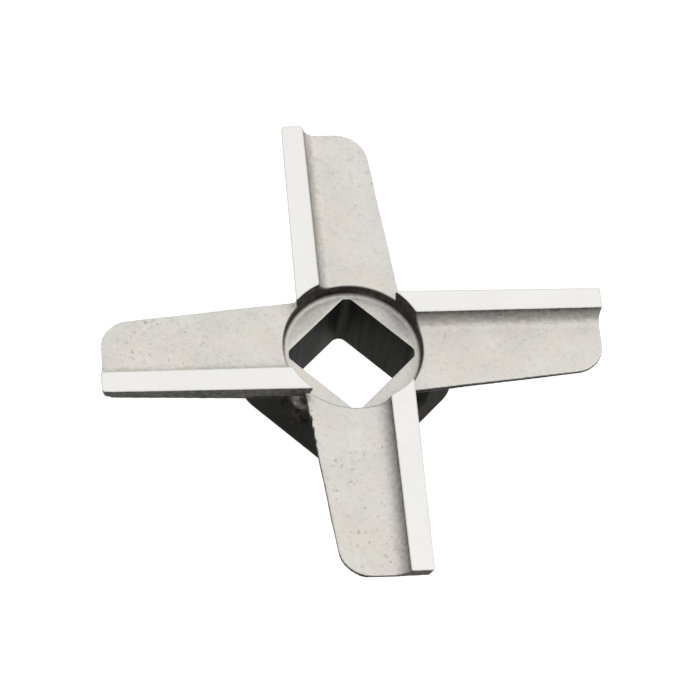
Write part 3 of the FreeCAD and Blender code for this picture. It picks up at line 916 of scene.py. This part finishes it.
def make_hole_wall():
    """Near-black steel, painted shade, with broach marks along the axis."""
    material, tree, shader, vector = new_material("broached wall", HOLE_SPECULAR)
    shader.inputs["Metallic"].default_value = 0.0
    marks = add_mottle(tree, vector, *HOLE_SCALES)
    stretch = add_node(tree, "ShaderNodeMapping", "along the axis", Scale=BROACH_STRETCH)
    feed(tree, stretch.inputs["Vector"], vector)
    broach = add_node(tree, "ShaderNodeTexNoise", "broach lines",
                      Scale=BROACH_SCALE, Detail=BROACH_DETAIL)
    feed(tree, broach.inputs["Vector"], stretch.outputs["Vector"])
    lines = broach.outputs["Fac"]
    level = product(
        tree,
        swing(tree, marks["Cloud"], *HOLE_CLOUDS),
        swing(tree, lines, *BROACH_LEVEL),
    )
    feed(tree, shader.inputs["Base Color"], scale_colour(tree, HOLE_PAINTED_SHADE, level))
    feed(tree, shader.inputs["Roughness"], swing(tree, lines, *HOLE_ROUGHNESS))
    add_bump(tree, shader, lines, BROACH_HEIGHT, BROACH_STRENGTH)
    return material


hole_wall_material = make_hole_wall()
print("drive hole:", len(hole_wall_material.node_tree.nodes), "nodes")

# %% [markdown]
# ## Give each face its finish
#
# The whole knife starts as cast skin. The faces that lie in the plane of the lands
# or of the back are ground. The walls of the drive hole are found by how far they
# are from the hole's own outline and by how little they face up or down.

# %% Assign the materials
STEEP = 0.7

for material in (cast_skin_material, ground_land_material, hole_wall_material):
    knife.data.materials.append(material)

centres, normals = faces_of(knife.data)
flat_top = (normals[:, 2] > LEVEL) & (centres[:, 2] > LAND_PLANE - NEAR)
flat_back = (normals[:, 2] < -LEVEL) & (centres[:, 2] < NEAR)
ground = flat_top | flat_back
broached = (from_hole(centres) < HOLE_GUARD) & (abs(normals[:, 2]) < STEEP)
for slot, faces in ((1, ground), (2, broached)):
    pick(knife, "polygons", faces)
    knife.active_material_index = slot
    bpy.ops.object.material_slot_assign()
    leave_edit()
print("ground faces:", int(ground.sum()), "and broached faces:", int(broached.sum()))

# %% [markdown]
# ## Smooth shading with crisp edges
#
# The cast skin shades smooth. Where two faces meet at a sharp angle, as at the rim
# of a land, the edge stays crisp. The finished knife then takes the place of the
# CAD part in the picture, and rides on the same body.

# %% Shade it and hand it over
CRISP_ANGLE = math.radians(38)

bpy.ops.object.select_all(action="DESELECT")
knife.select_set(True)
bpy.context.view_layer.objects.active = knife
bpy.ops.object.shade_smooth_by_angle(angle=CRISP_ANGLE)
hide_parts("grinder_knife")
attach(knife, "root")
print("the knife has", len(knife.data.polygons), "faces")

# %% [markdown]
# ## Floor and light
#
# The photograph shows the knife on pure white, with the light from above. The floor
# is white where the camera or a reflection sees it, and it still takes a soft
# shadow. Light Path tells those rays apart.

# %% The floor
FLOOR_SIZE = 4.0
FLOOR_GREY = (0.35, 0.35, 0.35, 1)
FLOOR_GLOW = 0.95

bpy.ops.object.select_all(action="DESELECT")
bpy.ops.mesh.primitive_plane_add(size=FLOOR_SIZE, location=(0, 0, 0))
floor = bpy.context.object
floor.name = "floor"
floor_material, floor_tree, matt, _ = new_material("white floor", 0.0)
matt.inputs["Base Color"].default_value = FLOOR_GREY
matt.inputs["Roughness"].default_value = 1.0
rays = floor_tree.nodes.new("ShaderNodeLightPath").outputs
seen = math_node(floor_tree, "MAXIMUM", rays["Is Camera Ray"], rays["Is Glossy Ray"])
seen = math_node(floor_tree, "MAXIMUM", seen, rays["Is Transmission Ray"])
glow = add_node(floor_tree, "ShaderNodeEmission", "white", Strength=FLOOR_GLOW)
lit = floor_tree.nodes.new("ShaderNodeAddShader")
feed(floor_tree, lit.inputs[0], matt.outputs["BSDF"])
feed(floor_tree, lit.inputs[1], glow.outputs["Emission"])
gate = floor_tree.nodes.new("ShaderNodeMixShader")
feed(floor_tree, gate.inputs["Fac"], seen)
feed(floor_tree, gate.inputs[1], matt.outputs["BSDF"])
feed(floor_tree, gate.inputs[2], lit.outputs["Shader"])
surface = floor_tree.nodes["Material Output"].inputs["Surface"]
feed(floor_tree, surface, gate.outputs["Shader"])
floor.data.materials.append(floor_material)
print("floor", FLOOR_SIZE, "m wide")

# %% [markdown]
# The sky does most of the lighting. It is brightest overhead, so a level face is
# light and a wall is darker. It is darker in front, on the photographer's side,
# which gives each of the four coves its own tone, as in the photograph.

# %% The sky
SKY_LOW = 0.72
SKY_HIGH = 1.05
FRONT_TO_BACK = (-0.6, 0.5)
FRONT_DARK = 0.46
BACK_BRIGHT = 1.08

world = bpy.data.worlds.new("studio")
bpy.context.scene.world = world
world.use_nodes = True
sky = world.node_tree
sky_place = sky.nodes.new("ShaderNodeTexCoord").outputs["Generated"]
sky_split = sky.nodes.new("ShaderNodeSeparateXYZ")
feed(sky, sky_split.inputs["Vector"], sky_place)
to_back = sky.nodes.new("ShaderNodeVectorMath")
to_back.operation = "DOT_PRODUCT"
feed(sky, to_back.inputs[0], sky_place)
feed(sky, to_back.inputs[1], (-math.cos(CAMERA_COMPASS), -math.sin(CAMERA_COMPASS), 0.0))
sky_level = product(
    sky,
    map_range(sky, sky_split.outputs["Z"], 0.0, 1.0, SKY_LOW, SKY_HIGH),
    map_range(sky, to_back.outputs["Value"], *FRONT_TO_BACK, FRONT_DARK, BACK_BRIGHT),
)
background = sky.nodes["Background"]
background.inputs["Color"].default_value = WHITE
feed(sky, background.inputs["Strength"], sky_level)
print("sky from", SKY_LOW, "to", SKY_HIGH)

# %% [markdown]
# One large softbox hangs over the knife, a little to the right. It is weak, and it
# only gives the shadow a side and the relief a light and a dark flank.

# %% The lamp
LAMP_PLACE = (0.35, 0.25, 0.8)
LAMP_SIDE = 0.5
LAMP_POWER = 1.0

bpy.ops.object.light_add(type="AREA", location=LAMP_PLACE)
lamp = bpy.context.object
lamp.name = "softbox"
lamp.data.shape = "SQUARE"
lamp.data.size = LAMP_SIDE
lamp.data.energy = LAMP_POWER
lamp.rotation_euler = Vector(lamp.location).to_track_quat("Z", "Y").to_euler()
print("softbox", lamp.data.energy, "W")

# %% [markdown]
# ## Look settings
#
# Standard keeps a colour as it is written.

# %% Finish
bpy.context.scene.view_settings.view_transform = "Standard"
